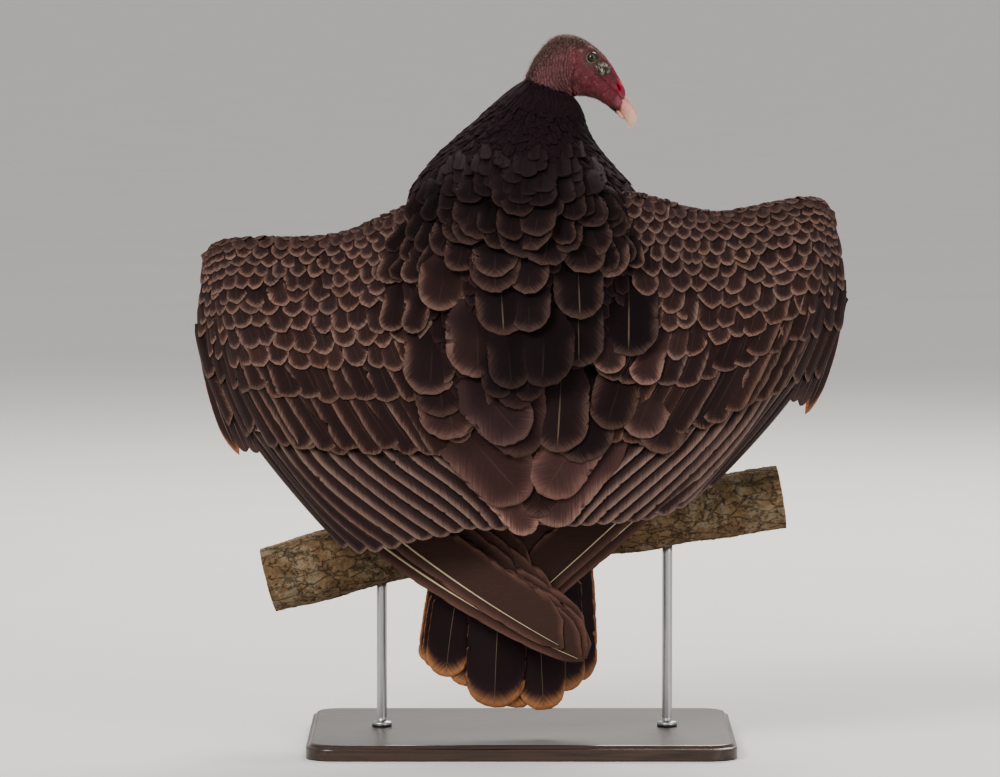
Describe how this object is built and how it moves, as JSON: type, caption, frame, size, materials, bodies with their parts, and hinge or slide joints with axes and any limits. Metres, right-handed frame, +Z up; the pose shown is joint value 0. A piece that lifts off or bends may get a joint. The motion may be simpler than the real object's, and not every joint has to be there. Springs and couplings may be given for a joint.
{
  "type": "turkey vulture with half-spread wings on a perch stand",
  "caption": "Life-size turkey vulture seen sunning itself, wings half open, head turned over its shoulder, gripping a cut branch on rods over a flat base",
  "frame": {"origin": "centre of the underside of the stand's base, at the bottom centre of the whole model", "axes": "+Z up; +Y is the way the bird's body faces, so the view along +Y shows its back; +X is the bird's right, the side its head is turned to"},
  "size_m": [0.5792, 0.29, 0.633],
  "materials": {
    "plumage": "soft dark brown-black body feathers",
    "coverts": "brown covert feathers with paler edges",
    "flight_feathers": "smooth dark brown flight feathers with pale shafts",
    "bare_skin": "wrinkled dull red bare skin",
    "bill": "ivory-pink horn",
    "leg_skin": "scaly pale pinkish-grey skin",
    "claw": "dark horn",
    "eye": "wet dark brown eye",
    "bark": "rough grey-brown bark with pale lichen",
    "rod": "brushed steel",
    "base": "dark satin lacquer"
  },
  "bodies": {
    "root": {"trunk": "plumage", "neck": "plumage", "thigh_right": "plumage", "thigh_left": "plumage", "wing_right_arm": "coverts", "wing_left_arm": "coverts", "wing_right_secondaries": "flight_feathers", "wing_left_secondaries": "flight_feathers", "wing_right_primaries": "flight_feathers", "wing_left_primaries": "flight_feathers", "wing_right_alula": "flight_feathers", "wing_left_alula": "flight_feathers", "tail": "flight_feathers", "head": "bare_skin", "eye_right": "eye", "eye_left": "eye", "bill_upper": "bill", "bill_lower": "bill", "tarsus_right": "leg_skin", "tarsus_left": "leg_skin", "foot_right": "leg_skin", "foot_left": "leg_skin", "perch_branch": "bark", "stand_base": "base", "stand_rod_right": "rod", "stand_rod_left": "rod", "claw_right_outer": "claw", "claw_right_middle": "claw", "claw_right_inner": "claw", "claw_right_hind": "claw", "claw_left_outer": "claw", "claw_left_middle": "claw", "claw_left_inner": "claw", "claw_left_hind": "claw"}
  },
  "joints": []
}
